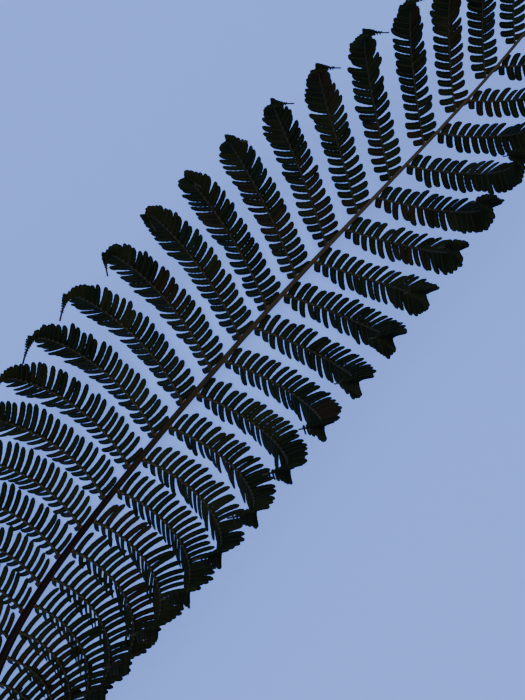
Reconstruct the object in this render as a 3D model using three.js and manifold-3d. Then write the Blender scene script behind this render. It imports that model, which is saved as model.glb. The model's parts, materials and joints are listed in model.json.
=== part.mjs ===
// A tree fern frond, cut from its crown and lying on its back with the leaf undersides up.
// Millimetres, +Z up. The rachis runs along +X to the tip, and +Y is the left side seen from above.
// Pairs of pinnae are counted from the cut end, and a pinna is a thin comb of leaflets on a rib.
import * as THREE from "three";
import Module from "manifold-3d";

const wasm = await Module();
wasm.setup();

const degrees = THREE.MathUtils.degToRad;

// Rachis
const WIDEST_GAP = 104; // between two neighbouring pairs near the middle of the frond
const WIDEST_PAIR = 13;
const GAP_HALVES_AFTER = 14.83; // pairs from the widest gap to a gap half as wide
const PAIRS = 26; // pairs that stand as nodes of their own
const APEX_PAIRS = 5; // small pairs fused with the rachis tip
const TIP_PAIR = 32; // the end of the rachis, counted in pairs
const LEFT_LEAD = 0.63; // left pinnae sit this share of a gap further up than right ones
const LEAD_DIP = 0.18; // some left pinnae above mid frond lead by less, as grown
const LEAD_DIP_PAIR = 17;
const LEAD_DIP_SPAN = 2.6;
const STUB = 150; // bare stalk below the lowest pair
const TIP_ARCH = degrees(51.3); // how far the rachis has turned up at its tip
const SWAY = [-6.5, -6.3, -8.7, 23.1]; // swing to the left in degrees, by rising powers of spans
const SWAY_SPAN = 1040; // a span along the rachis, counted from its widest gap
const SWAY_ENDS = [-0.85, 0.95]; // beyond these spans the rachis runs straight on
const TIP_RADIUS = 0.8;
const TAPER = 0.0043; // gain of radius for each millimetre towards the cut end
const FOOT_SWELL = 2.6; // extra radius at the cut end
const FOOT_SWELL_FROM = -500;
const FOOT_SWELL_SPAN = 700;
const RACHIS_SIDES = 8;
const RACHIS_STEP = 40;
const LINE_STEPS = 48; // steps in which the rachis line is added up
const SEAM = 0.3; // gap that keeps touching pieces apart
const PARTED_ABOVE = [1.3, 10.3, 19.3, 26.3]; // the rachis is parted just above these pairs

// Pinnae
const LONGEST_PINNA = 530;
const LONGEST_AT = 12.2; // pair with the longest pinnae
const FOOT_FALLOFF = 17.5; // pairs below the longest at which the length would reach nothing
const TIP_FALLOFF = 20; // pairs above the longest at which it does
const TIP_BELLY = 1.8; // how long the pinnae stay long above the longest
const TIP_POINT = 1.2; // how slender the end of the frond is
const SHORTEST_SHARE = 0.02; // of the longest pinna
const MID_PAIR = 14; // pair at which the set angle and the curl have their plain values
const SET_ANGLE = degrees(69.2); // between the rachis and a pinna at mid frond
const SET_ANGLE_FALL = degrees(19.6); // loss of that angle ten pairs nearer the tip
const SET_ANGLE_BEND = degrees(1.1);
const BACK_TURN = degrees(13.5); // how far a pinna swings back along its length
const DIP = degrees(15.9); // how far a pinna first heads down
const CURL = degrees(120); // how far it then turns up on its way to its tip
const CURL_GAIN = degrees(10.5); // extra curl ten pairs nearer the tip
const CURL_POWER = 0.873; // below 1 the curl is spent early
const RIGHT_CURL = degrees(19.1); // extra curl of the right pinnae
const HOOK = degrees(116); // how far the end of the longest pinna folds over besides
const HOOK_FROM = 0.657; // share of the pinna at which the fold begins
const HOOK_POWER = 1.41;
const HOOK_SWAY = { 1: degrees(73), [-1]: degrees(-73) }; // swing of the folded end, by side
const SWAY_TURNS_AT = 14.5; // left pinnae below this pair swing the other way
const SWAY_TURNS_IN = 2; // within this many pairs
const ROOT_DROP = 0.25; // pinna roots lie this share of the rachis radius under its axis
const COSTA_RADIUS = 2.6; // rib of the longest pinna at its root
const COSTA_SHARE = 0.35; // most of the rachis radius that a rib may have
const COSTA_TAPER = 0.75; // share of its radius that a rib has lost at its tip
const SPINE_STEPS = 60;

// Leaflets
const LEAFLETS = 12; // on each side of the longest pinna, each standing for two or three real ones
const LEAFLET_REACH = 0.48; // leaflet length as a share of the room between two pinnae
const TROUGH = degrees(29); // both halves of a pinna fall away from its rib by this angle
const LOUVRE = degrees(13.7); // roll of a pinna's root that lifts its tipward half
const TWIST = degrees(30); // how much of that roll a pinna loses along its length
const LEAN = degrees(12); // leaflets lean towards the pinna tip
const BARE_STALK = 9; // before the first leaflet
const TAIL = 0.1; // bare end of the rib, as a share of the pinna
const LEAFLET_GAP = 0.2; // share of the spacing left open between two leaflets
const LEAFLET_TIP = 0.72; // width at the leaflet's end as a share of its foot
const LEAFLET_SLANT = 0.94; // reach of its far corner as a share of its near one
const ROOT_SHARE = 0.78; // leaflet length at the pinna's root as a share of the full length
const ROOT_GAIN = 2; // growth of that share along the pinna
const FULL_UNTIL = 0.46; // share of the pinna after which leaflets shorten
const TAIL_FROM = 0.9; // share of the pinna after which only teeth are left
const END_ROUNDNESS = 2; // how late and how fast they shorten
const END_SHARE = 0.08; // share of the full length that the teeth keep
const FEWEST_LEAFLETS = 4;

const UP = new THREE.Vector3(0, 0, 1);

const paint = (color, roughness) =>
  new THREE.MeshStandardMaterial({ color, roughness, metalness: 0 });
const rachisPaint = () => paint(0x4a2f22, 0.55);
const leafPaint = () => paint(0x26331c, 0.6);

const clamp = THREE.MathUtils.clamp;

// Distance along the rachis from the widest pair to a pair, which need not be whole
const alongAt = (pair) =>
  WIDEST_GAP * GAP_HALVES_AFTER * Math.atan((pair - WIDEST_PAIR) / GAP_HALVES_AFTER);
const gapAt = (pair) => WIDEST_GAP / (1 + ((pair - WIDEST_PAIR) / GAP_HALVES_AFTER) ** 2);
const leadAt = (pair) =>
  LEFT_LEAD - LEAD_DIP * Math.exp(-(((pair - LEAD_DIP_PAIR) / LEAD_DIP_SPAN) ** 4));
const TIP_ALONG = alongAt(TIP_PAIR);
const FOOT_ALONG = alongAt(1) - STUB;

function rachisRadius(along) {
  const swell = clamp((FOOT_SWELL_FROM - along) / FOOT_SWELL_SPAN, 0, 1);
  return TIP_RADIUS + (TIP_ALONG - along) * TAPER + FOOT_SWELL * swell ** 2;
}

function rachisHeading(along) {
  const spans = clamp(along / SWAY_SPAN, ...SWAY_ENDS);
  const yaw = degrees(SWAY.reduce((sum, swing, i) => sum + swing * spans ** (i + 1), 0));
  const rise = TIP_ARCH * (1 - Math.cos((Math.PI / 2) * clamp(along / TIP_ALONG, 0, 1)));
  return new THREE.Vector3(
    Math.cos(rise) * Math.cos(yaw),
    Math.cos(rise) * Math.sin(yaw),
    Math.sin(rise),
  );
}

// Point on the rachis axis with the directions ahead, to the left and out of its back
function rachisAt(along) {
  const point = new THREE.Vector3();
  const step = along / LINE_STEPS;
  for (let i = 0; i < LINE_STEPS; i++) point.addScaledVector(rachisHeading(step * (i + 0.5)), step);
  const ahead = rachisHeading(along);
  const left = new THREE.Vector3().crossVectors(UP, ahead).normalize();
  const out = new THREE.Vector3().crossVectors(ahead, left);
  return { point, ahead, left, out };
}

function pinnaLength(pair) {
  const over = pair - LONGEST_AT;
  if (over < 0) return LONGEST_PINNA * (1 - (over / FOOT_FALLOFF) ** 2);
  return LONGEST_PINNA * Math.max(1 - (over / TIP_FALLOFF) ** TIP_BELLY, SHORTEST_SHARE) ** TIP_POINT;
}

// Share of the full leaflet length at a share of the way along a pinna
function leafletShape(way) {
  const spent = clamp((way - FULL_UNTIL) / (TAIL_FROM - FULL_UNTIL), 0, 1);
  return Math.min(1, ROOT_SHARE + ROOT_GAIN * way) * Math.max(1 - spent ** END_ROUNDNESS, END_SHARE);
}

// The line of a pinna's rib: steps with a point, its heading, its tipward side and its underside
function pinnaSpine(pair, side, sunk) {
  const along = alongAt(pair);
  const root = rachisAt(along);
  const radius = rachisRadius(along);
  const tens = (pair - MID_PAIR) / 10;
  const outward = root.left.clone().multiplyScalar(side);
  const level = new THREE.Vector3(root.ahead.x, root.ahead.y, 0).normalize();
  const rise = Math.asin(root.ahead.z);
  const flat = radius * Math.cos(Math.PI / RACHIS_SIDES) + SEAM;
  const length = pinnaLength(pair);
  const set = SET_ANGLE - SET_ANGLE_FALL * tens - SET_ANGLE_BEND * tens ** 2;
  const curl = CURL + CURL_GAIN * tens + (side < 0 ? RIGHT_CURL : 0);
  const swing = side < 0 ? 1 : clamp((pair - SWAY_TURNS_AT) / SWAY_TURNS_IN, -1, 1);
  const costa = Math.min(COSTA_RADIUS * Math.sqrt(length / LONGEST_PINNA), COSTA_SHARE * radius);
  const point = root.point
    .clone()
    .addScaledVector(outward, sunk ? 0 : flat)
    .addScaledVector(root.out, -ROOT_DROP * radius);
  const stations = [];
  for (let i = 0; i <= SPINE_STEPS; i++) {
    const way = i / SPINE_STEPS;
    const straight = set + BACK_TURN * way;
    const folded = Math.max(0, (way - HOOK_FROM) / (1 - HOOK_FROM));
    const angle = straight + HOOK_SWAY[side] * swing * folded;
    const hook = HOOK * (length / LONGEST_PINNA) * folded ** HOOK_POWER;
    const pitch = rise * Math.cos(straight) - DIP + curl * way ** CURL_POWER + hook;
    const run = level.clone().multiplyScalar(Math.cos(angle));
    run.addScaledVector(outward, Math.sin(angle)).normalize();
    const ahead = run.clone().multiplyScalar(Math.cos(pitch)).addScaledVector(UP, Math.sin(pitch));
    const under = run.clone().multiplyScalar(-Math.sin(pitch)).addScaledVector(UP, Math.cos(pitch));
    const tipward = new THREE.Vector3().crossVectors(ahead, under).multiplyScalar(side);
    const roll = LOUVRE - TWIST * way;
    const rolledTipward = tipward.clone().multiplyScalar(Math.cos(roll));
    rolledTipward.addScaledVector(under, Math.sin(roll));
    const rolledUnder = under.clone().multiplyScalar(Math.cos(roll));
    rolledUnder.addScaledVector(tipward, -Math.sin(roll));
    stations.push({ point: point.clone(), ahead, tipward: rolledTipward, under: rolledUnder });
    point.addScaledVector(ahead, length / SPINE_STEPS);
  }
  const reach = LEAFLET_REACH * gapAt(pair) * Math.sin(set);
  return { stations, length, reach, costa, root, side };
}

// Place on a spine at a share of its length, with the frame mixed from the two nearest stations
function onSpine(spine, way) {
  const last = spine.stations.length - 1;
  const at = clamp(way, 0, 1) * last;
  const low = Math.min(Math.floor(at), last - 1);
  const [a, b] = [spine.stations[low], spine.stations[low + 1]];
  const mix = (key) => a[key].clone().lerp(b[key], at - low);
  return {
    point: mix("point"),
    ahead: mix("ahead").normalize(),
    tipward: mix("tipward").normalize(),
    under: mix("under").normalize(),
  };
}

// Collects corners and faces of one closed body
class Shell {
  constructor() {
    this.corners = [];
    this.faces = [];
  }
  corner(point) {
    return this.corners.push(point) - 1;
  }
  face(a, b, c, flip = false) {
    this.faces.push(...(flip ? [a, c, b] : [a, b, c]));
  }
  geometry() {
    const made = new THREE.BufferGeometry().setFromPoints(this.corners);
    made.setIndex(this.faces);
    return made;
  }
}

// A comb-shaped blade: a rib with a ridge above and below, and leaflets whose edges are thin
function pinnaGeometry(spine) {
  const shell = new Shell();
  const { length, costa, side, root } = spine;
  const count = Math.max(FEWEST_LEAFLETS, Math.round(LEAFLETS * Math.sqrt(length / LONGEST_PINNA)));
  const first = BARE_STALK / length;
  const pitch = (1 - TAIL - first) / count;
  const ribAt = (way) => costa * (1 - COSTA_TAPER * way);
  const section = (way) => {
    const here = onSpine(spine, way);
    const beside = (side, amount) => shell.corner(here.point.clone().addScaledVector(side, amount));
    return {
      up: beside(here.under, ribAt(way)),
      down: beside(here.under, -ribAt(way)),
      edges: { 1: beside(here.tipward, ribAt(way)), [-1]: beside(here.tipward, -ribAt(way)) },
    };
  };
  const tip = (way, half, share) => {
    const here = onSpine(spine, way);
    const long = spine.reach * leafletShape(way) * share;
    const fall = here.tipward.clone().multiplyScalar(half * Math.cos(TROUGH));
    fall.addScaledVector(here.under, -Math.sin(TROUGH)).multiplyScalar(Math.cos(LEAN));
    fall.addScaledVector(here.ahead, Math.sin(LEAN));
    return shell.corner(here.point.addScaledVector(fall, long));
  };
  // The root's cut lies flat against the rachis
  const foot = onSpine(spine, 0).point;
  const atRoot = (across, up) =>
    shell.corner(
      foot.clone().addScaledVector(root.ahead, across * costa).addScaledVector(root.out, up * costa),
    );
  let last = {
    up: atRoot(0, 1),
    down: atRoot(0, -1),
    edges: { 1: atRoot(1, 0), [-1]: atRoot(-1, 0) },
  };
  const mirrored = side < 0;
  shell.face(last.edges[1], last.up, last.edges[-1], mirrored);
  shell.face(last.edges[1], last.edges[-1], last.down, mirrored);
  const rib = (from, to, half) => {
    const turned = half > 0 === mirrored;
    shell.face(from.up, from.edges[half], to.edges[half], turned);
    shell.face(from.up, to.edges[half], to.up, turned);
    shell.face(from.down, to.edges[half], from.edges[half], turned);
    shell.face(from.down, to.down, to.edges[half], turned);
  };
  for (let i = 0; i < count; i++) {
    const start = first + i * pitch;
    const end = start + pitch * (1 - LEAFLET_GAP);
    const inset = ((end - start) * (1 - LEAFLET_TIP)) / 2;
    const near = section(start);
    const far = section(end);
    for (const half of [1, -1]) {
      const turned = half > 0 === mirrored;
      rib(last, near, half);
      const low = tip(start + inset, half, 1);
      const high = tip(end - inset, half, LEAFLET_SLANT);
      for (const [ridge, flip] of [["up", turned], ["down", !turned]]) {
        shell.face(near[ridge], near.edges[half], low, flip);
        shell.face(near[ridge], low, far[ridge], flip);
        shell.face(far[ridge], low, high, flip);
        shell.face(far[ridge], high, far.edges[half], flip);
      }
    }
    last = far;
  }
  const point = shell.corner(onSpine(spine, 1).point);
  for (const half of [1, -1]) {
    const turned = half > 0 === mirrored;
    shell.face(last.up, last.edges[half], point, turned);
    shell.face(last.down, point, last.edges[half], turned);
  }
  return shell.geometry();
}

// A stretch of the rachis, many-sided with flats to the left and right, and flat cut at its ends
function rachisGeometry(from, to) {
  const shell = new Shell();
  const rings = Math.max(2, Math.ceil((to - from) / RACHIS_STEP) + 1);
  const ids = [];
  for (let i = 0; i < rings; i++) {
    const along = from + ((to - from) * i) / (rings - 1);
    const { point, left, out } = rachisAt(along);
    const radius = rachisRadius(along);
    for (let k = 0; k < RACHIS_SIDES; k++) {
      const turn = (2 * Math.PI * (k + 0.5)) / RACHIS_SIDES;
      const spot = point.clone().addScaledVector(left, radius * Math.cos(turn));
      ids.push(shell.corner(spot.addScaledVector(out, radius * Math.sin(turn))));
    }
  }
  for (let i = 0; i + 1 < rings; i++)
    for (let k = 0; k < RACHIS_SIDES; k++) {
      const next = (k + 1) % RACHIS_SIDES;
      const [a, b] = [i * RACHIS_SIDES + k, i * RACHIS_SIDES + next];
      const [c, d] = [a + RACHIS_SIDES, b + RACHIS_SIDES];
      shell.face(ids[a], ids[b], ids[d]);
      shell.face(ids[a], ids[d], ids[c]);
    }
  const end = (rings - 1) * RACHIS_SIDES;
  for (let k = 1; k + 1 < RACHIS_SIDES; k++) {
    shell.face(ids[0], ids[k + 1], ids[k]);
    shell.face(ids[end], ids[end + k], ids[end + k + 1]);
  }
  return shell.geometry();
}

const solidOf = (geometry) =>
  new wasm.Manifold(
    new wasm.Mesh({
      numProp: 3,
      vertProperties: new Float32Array(geometry.getAttribute("position").array),
      triVerts: new Uint32Array(geometry.index.array),
    }),
  );

function geometryOf(solid) {
  const mesh = solid.getMesh();
  const made = new THREE.BufferGeometry();
  made.setAttribute("position", new THREE.BufferAttribute(mesh.vertProperties, 3));
  return made.setIndex(new THREE.BufferAttribute(mesh.triVerts, 1));
}

// The frond's end: the last of the rachis with its small pairs sunk into it
function apexGeometry(from) {
  let solid = solidOf(rachisGeometry(from, TIP_ALONG));
  for (let i = 1; i <= APEX_PAIRS; i++)
    for (const [side, lead] of [[-1, 0], [1, leadAt(PAIRS + i)]])
      solid = solid.add(solidOf(pinnaGeometry(pinnaSpine(PAIRS + i + lead, side, true))));
  return geometryOf(solid);
}

const frond = new THREE.Group();
const addPiece = (name, geometry, material) => {
  geometry.computeVertexNormals();
  const mesh = new THREE.Mesh(geometry, material);
  mesh.name = name;
  frond.add(mesh);
};

const rachisNames = ["stalk", "rachis_lower", "rachis_middle", "rachis_upper"];
const partings = PARTED_ABOVE.map(alongAt);
rachisNames.forEach((name, i) => {
  const from = i === 0 ? FOOT_ALONG : partings[i - 1] + SEAM;
  addPiece(name, rachisGeometry(from, partings[i]), rachisPaint());
});
addPiece("apex", apexGeometry(partings.at(-1) + SEAM), leafPaint());

for (let pair = 1; pair <= PAIRS; pair++) {
  const number = String(pair).padStart(2, "0");
  const right = pinnaSpine(pair, -1, false);
  const left = pinnaSpine(pair + leadAt(pair), 1, false);
  addPiece(`pinna_right_${number}`, pinnaGeometry(right), leafPaint());
  addPiece(`pinna_left_${number}`, pinnaGeometry(left), leafPaint());
}

const reach = new THREE.Box3().setFromObject(frond, true);
const middle = reach.getCenter(new THREE.Vector3());
frond.position.set(-middle.x, -middle.y, -reach.min.z);

export default frond;
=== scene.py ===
import json
import math
from functools import partial

import bmesh
import bpy
import numpy as np
from bpy.props import FloatProperty, FloatVectorProperty, IntProperty, PointerProperty
from mathutils import Matrix, Vector


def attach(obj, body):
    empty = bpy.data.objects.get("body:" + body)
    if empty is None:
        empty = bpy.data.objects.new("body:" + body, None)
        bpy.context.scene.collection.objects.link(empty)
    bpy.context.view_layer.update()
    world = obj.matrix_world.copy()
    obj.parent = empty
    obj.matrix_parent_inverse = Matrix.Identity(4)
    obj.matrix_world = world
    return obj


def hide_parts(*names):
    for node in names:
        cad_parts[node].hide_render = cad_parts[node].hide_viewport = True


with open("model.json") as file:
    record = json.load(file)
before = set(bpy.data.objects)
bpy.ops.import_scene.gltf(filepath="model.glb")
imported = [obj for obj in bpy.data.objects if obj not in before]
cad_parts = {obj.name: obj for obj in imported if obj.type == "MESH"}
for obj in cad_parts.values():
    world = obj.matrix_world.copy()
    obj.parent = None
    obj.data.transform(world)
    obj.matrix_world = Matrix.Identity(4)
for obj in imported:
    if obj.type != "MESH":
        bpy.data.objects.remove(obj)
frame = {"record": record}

bl_info = {
    "name": "Tree fern frond",
    "version": (1, 0, 0),
    "blender": (4, 5, 0),
    "location": "3D View > Sidebar > Frond",
    "description": "A cut tree fern frond lying on its back, with its rachis, ribs and leaflets",
    "category": "Object",
}

# Metres throughout. The rachis runs along +X to the tip, and +Y is the left side seen from above.
# Pairs of pinnae are counted from the cut end, and a span is SWAY_SPAN along the rachis.
MM = 0.001
UP = Vector((0, 0, 1))
SIDE_NAMES = {-1: "right", 1: "left"}

# Rachis line, as the solids follow it
WIDEST_GAP = 0.104  # between two neighbouring pairs near the middle of the frond
WIDEST_PAIR = 13
GAP_HALVES_AFTER = 14.83  # pairs from the widest gap to a gap half as wide
PAIRS = 26  # pairs that stand as nodes of their own
APEX_PAIRS = 5  # small pairs fused with the rachis tip
TIP_PAIR = 32  # the end of the rachis, counted in pairs
LEFT_LEAD = 0.63  # left pinnae sit this share of a gap further up than right ones
LEAD_DIP = 0.18  # some left pinnae above mid frond lead by less, as grown
LEAD_DIP_PAIR = 17
LEAD_DIP_SPAN = 2.6
STUB = 0.150  # bare stalk below the lowest pair
TIP_ARCH = math.radians(51.3)  # how far the rachis has turned up at its tip
SWAY = (-6.5, -6.3, -8.7, 23.1)  # swing to the left in degrees, by rising powers of spans
SWAY_SPAN = 1.040
SWAY_ENDS = (-0.85, 0.95)  # beyond these spans the rachis runs straight on
TIP_RADIUS = 0.0008
TAPER = 0.0043  # growth of the radius with each metre down from the tip
FOOT_SWELL = 0.0026  # and further growth towards the cut
FOOT_SWELL_FROM = -0.500
FOOT_SWELL_SPAN = 0.700
LINE_STEPS = 48

# Pinna line, as the solids follow it
LONGEST_PINNA = 0.530
LONGEST_AT = 12.2  # pair
FOOT_FALLOFF = 17.5  # pairs from the longest down to where the length would be nothing
TIP_FALLOFF = 20  # and up
TIP_BELLY = 1.8
TIP_POINT = 1.2
SHORTEST_SHARE = 0.02
MID_PAIR = 14
SET_ANGLE = math.radians(69.2)  # between the rachis and a pinna at mid frond
SET_ANGLE_FALL = math.radians(19.6)  # loss ten pairs nearer the tip
SET_ANGLE_BEND = math.radians(1.1)  # and loss with the square of those tens
BACK_TURN = math.radians(13.5)  # it leans back from the rachis by this on its way
DIP = math.radians(15.9)  # how far a pinna first heads down
CURL = math.radians(120)  # how far it then turns up on its way to its tip
CURL_GAIN = math.radians(10.5)  # further turn ten pairs nearer the tip
CURL_POWER = 0.873
RIGHT_CURL = math.radians(19.1)  # further turn of the right pinnae
HOOK = math.radians(116)  # how far the end of the longest pinna folds over besides
HOOK_FROM = 0.657  # share of its way from which it folds
HOOK_POWER = 1.41
HOOK_SWAY = {1: math.radians(73), -1: math.radians(-73)}  # swing of the folded end, by side
SWAY_TURNS_AT = 14.5  # left pinnae below this pair fold the other way
SWAY_TURNS_IN = 2
ROOT_DROP = 0.25  # share of the stalk radius by which a pinna joins below its axis
COSTA_RADIUS = 0.0026  # of the longest pinna's rib
COSTA_SHARE = 0.35  # the most of the stalk's radius that a rib has
SPINE_STEPS = 60
SOLID_STALK_SIDES = 8

# Leaflets: the solids' rule, at the leaflets' real number and real outline
LEAFLET_REACH = 0.52  # leaflet length as a share of the room between two pinnae
LONGER_BELOW = {1: 0.12, -1: 0.25}  # leaflets of lower pinnae are this much longer, by side
SLIMMER_BELOW = 0.16  # share of their width that these lose
FLATTER_BELOW = 0.3  # share of the trough that the rootward half loses there
LONGER_IN = 4  # pairs from the widest one down to the full change
TROUGH = math.radians(29)  # both halves of a pinna fall away from its rib by this angle
LOUVRE = math.radians(13.7)  # roll of a pinna's root that lifts its tipward half
TWIST = math.radians(30)  # how far that roll turns back along its length
BARE_RIB = 0.0035  # before the first leaflet
FULL_UNTIL = 0.46  # share of a pinna up to which leaflets keep their full length
TAIL_FROM = 0.9  # and share from which they keep only END_SHARE of it
END_ROUNDNESS = 2
END_SHARE = 0.1
SPACING_FALL = 0.06  # loss of spacing ten pairs nearer the tip
CROWDING = 0.0072  # loss of spacing from one leaflet to the next
LEAST_SPACING = 0.3
TAIL_SPACING = 0.3  # share of the spacing that doesn't shrink with the leaflets
SLIM_BELOW = 0.038  # leaflets shorter than this also stand closer
SLIM_POWER = 0.75
ROOT_SHARES = {  # leaflet length at the root and its gain, by side and half
    (1, 1): (0.82, 3.0),
    (1, -1): (0.6, 6.0),
    (-1, 1): (0.82, 3.0),
    (-1, -1): (0.45, 7.0),
}
ROOTWARD_SHIFT = 0.35  # rootward leaflets sit this share of a spacing nearer the root
ROOT_SLIM = 0.85  # width of the first leaflets as a share of the later ones
SLIM_UNTIL = 0.4  # share of the pinna by which they have their full width
END_WIDTH = 1.35  # the last leaflets overlap
END_LOSS = {1: 0.45, -1: 0.15}  # share of their length that the end leaflets lose besides, by side
END_LOSS_OVER = (0.58, 0.8)  # shares of the pinna between which that loss grows
LEAFLET_ENDS = {1: 0.9, -1: 0.85}  # leaflets end before the solids' thread, by side
RIB_ENDS = {1: 0.92, -1: 0.86}  # and ribs a little after them
TURN_FROM = math.radians(35)  # leaflets turn to overlap where the pinna is steeper than this
TURN_SHARES = {1: 0.5, -1: 0.2}  # share of the further steepness, by half times side
FOLD_FROM = math.radians(60)  # from here on the folded end's leaflets lie over one another
MOST_TURN = math.radians(90)
TROUGH_PLAY = math.radians(3)  # each leaflet's own deviation
LEAN_PLAY = math.radians(2.2)
ROLL_PLAY = math.radians(3.5)
LENGTH_PLAY = 0.05
WIDTH_PLAY = 0.04
SPRAY = (3, 9)  # neighbouring leaflets of one colour: at least, and fewer than
# The bluish tint is a painted reflection: it stands in for the sky's sheen on the leaves and is dealt
# out by spray like the other tints
TINTS = {"leaf_deep": 0.52, "leaf_olive": 0.24, "leaf_bronze": 0.12, "leaf_sky_sheen": 0.12}
STRETCHES = {
    "foot": range(1, 8),
    "lower": range(8, 14),
    "middle": range(14, 20),
    "upper": range(20, 27),
    "tip": range(27, 32),
}
END_PAIRS = (31.3, 31.5, 31.68, 31.84)  # single leaflets at the tip of the rachis
END_LEAFLET = 0.009  # the first of them
END_LEAFLET_LOSS = 0.2  # of that length, from one to the next
END_LEAFLET_WIDTH = 0.45  # share of its length
END_SPREAD = math.radians(42)  # angle to the rachis tip
END_SPREAD_LOSS = 0.12
SEED = 41
LEAFLET_CREASE = math.radians(35)  # faces that turn further apart meet in an edge
STALK_CREASE = math.radians(50)
LAID = 0.0004  # leaflets that reach the floor bend and lie this far above it
FLOOR_BEND = 0.003

# One modelled leaflet, in shares of its length and width
LEAFLET_STEPS = 11
EVEN_STEPS = 0.3  # how evenly its columns stand, 0 for crowded at the round end
LEAFLET_TAPER = 0.06  # of its width, lost from foot to tip
LEAFLET_FOOT = 1.12  # width of its foot
LEAFLET_FOOT_LENGTH = 0.14
LEAFLET_ROUND_FROM = 0.81  # share of the length after which the end rounds off
LEAFLET_BLUNT = 0.36  # width of the end edge
LEAFLET_CRENATION = 0.035
LEAFLET_FORMS = ((0.05, 0.10), (0.02, 0.18), (0.09, 0.05))  # fold along the midrib and droop
NEAR = 1e-4  # points closer than this share a place
MARK = 1e-5  # a drop too small to see, which marks a finished column
COLUMN_NEAR = 0.002  # points this near a column's place belong to it

# One modelled rib, in shares of its length and of its radius at the foot
RIB_SIDES = 8
RIB_FULLNESS = 1.4  # radius as a share of the solid rib's
RIB_RINGS = 48
RIB_FROM = -0.012  # the root runs on into the rachis
RIB_LOSS = 0.5  # of its radius, lost at its tip
RIB_SWELL = 0.7  # extra radius of the swollen root
RIB_SWELL_SHARE = 0.022
RIB_CROWDING = 1.35  # rings stand closer near the root
AXIL_KNOT = (1.3, 2.8, 0.0015, 0.0075)  # distance out and size in rib radii, least and most size
AXIL_KNOT_FORM = (1.5, 0.8, 1)  # ahead, to the side and out of the rachis's underside
AXIL_KNOT_AHEAD = 0.4  # of its size, past the rib's edge
FOOT_KNOT = 0.9  # radius of the swelling at a leaflet's foot, in rib radii
FOOT_KNOT_PLACE = (0.6, 0.55)  # tipward and out of the underside from the rib's middle, in its radii
KNOB_FOOT_BELOW = -0.2  # points of a knot below this are its foot
KNOB_FOOT = (1.25, 1.25, 0.7)  # how far that is spread and flattened

# Rachis section
STALK_SIDES = 24
GROOVE_HALF_ANGLE = math.radians(32)
GRAIN_STATIONS = 600
GRAIN_BLOCKS = 20  # the points are placed a block at a time
SWELLING_SIZE = 18 * MM

# Patterns of the surfaces
LEAFLET_LENGTH = 45 * MM
VEIN_SPACING = 2.6 * MM
VEIN_SLANT = -0.35
MIDRIB_HALF_WIDTHS = (0.02, 0.09)  # where it starts to fade and where it ends
LEAF_LIGHTENING = 3.4  # lighter patches against the ground colour
LEAF_GRAIN = 1.5 * MM
LEAF_PATCH = 60 * MM
FIBRE_WIDTH = 0.9 * MM
FIBRE_LENGTH = 60 * MM
STALK_PALES = (-0.4, 0.6)  # distances along the rachis between which it pales
BUNDLES = 16  # dark strands in a ring in the cut face
BUNDLE_RING = 0.68  # radius of that ring as a share of the stalk's
RIM_FROM = 0.82  # share of the radius where the dark rim begins
PITH_CELL = 1 * MM

# Stage
FLOOR_SIZE = 14.0
FLOOR_GLOW = 0.85
WORLD_COLOUR = (1.0, 0.99, 0.93)
WORLD_LIGHT = 0.24
LAMPS = (
    # name, place, size, watts
    ("overhead", (0.6, 0.4, 3.2), 3.0, 30),
    ("side", (-2.2, -2.4, 1.6), 2.0, 15),
)
CAMERA_PLACE = Vector((0.36140, -0.16085, 1.30400))  # from the rachis at its widest gap
CAMERA_RIGHT = Vector((0.64740, -0.74693, -0.15152))  # the way to the picture's right edge
CAMERA_DOWN = Vector((-0.74966, -0.65992, 0.05007))
PICTURE_HEIGHT = 700
FOCAL_PIXELS = 582
SENSOR = 36  # millimetres, for the picture's height


def clamp(value, low, high):
    return max(low, min(high, value))


def unit(rows):
    """The rows, each scaled to length one."""
    return rows / np.linalg.norm(rows, axis=1, keepdims=True)


def linear(hex_colour):
    """Linear RGB of an sRGB hex colour."""
    channels = [int(hex_colour[i : i + 2], 16) / 255 for i in (1, 3, 5)]
    return [c / 12.92 if c <= 0.04045 else ((c + 0.055) / 1.055) ** 2.4 for c in channels]


def along_at(pair):
    """Distance along the rachis from the widest pair to a pair, which need not be whole."""
    return WIDEST_GAP * GAP_HALVES_AFTER * math.atan((pair - WIDEST_PAIR) / GAP_HALVES_AFTER)


def gap_at(pair):
    """Distance between neighbouring pairs there."""
    return WIDEST_GAP / (1 + ((pair - WIDEST_PAIR) / GAP_HALVES_AFTER) ** 2)


def lead_at(pair, side):
    """How far up its gap a pinna sits: right ones mark the pairs, and left ones lead them."""
    if side < 0:
        return 0
    return LEFT_LEAD - LEAD_DIP * math.exp(-(((pair - LEAD_DIP_PAIR) / LEAD_DIP_SPAN) ** 4))


TIP_ALONG = along_at(TIP_PAIR)
FOOT_ALONG = along_at(1) - STUB


def rachis_radius(along):
    """Radius of the stalk or rachis at a distance along it from the widest pair."""
    swell = clamp((FOOT_SWELL_FROM - along) / FOOT_SWELL_SPAN, 0, 1)
    return TIP_RADIUS + (TIP_ALONG - along) * TAPER + FOOT_SWELL * swell**2


def rachis_turns(along):
    """How far the rachis has swung to the left and how far it has turned up."""
    spans = clamp(along / SWAY_SPAN, *SWAY_ENDS)
    yaw = math.radians(sum(swing * spans ** (i + 1) for i, swing in enumerate(SWAY)))
    rise = TIP_ARCH * (1 - math.cos(math.pi / 2 * clamp(along / TIP_ALONG, 0, 1)))
    return yaw, rise


def rachis_heading(along):
    """The way the rachis runs there."""
    yaw, rise = rachis_turns(along)
    return Vector((math.cos(rise) * math.cos(yaw), math.cos(rise) * math.sin(yaw), math.sin(rise)))


def run_from_widest(along):
    """Way from the widest gap to a place on the rachis, added up in short steps."""
    step = along / LINE_STEPS
    return sum((rachis_heading(step * (i + 0.5)) * step for i in range(LINE_STEPS)), Vector((0, 0, 0)))


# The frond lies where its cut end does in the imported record
CUT_END = Vector(frame["record"]["mounts"][0]["pos_m"])
WIDEST_PLACE = CUT_END - run_from_widest(FOOT_ALONG)


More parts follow.
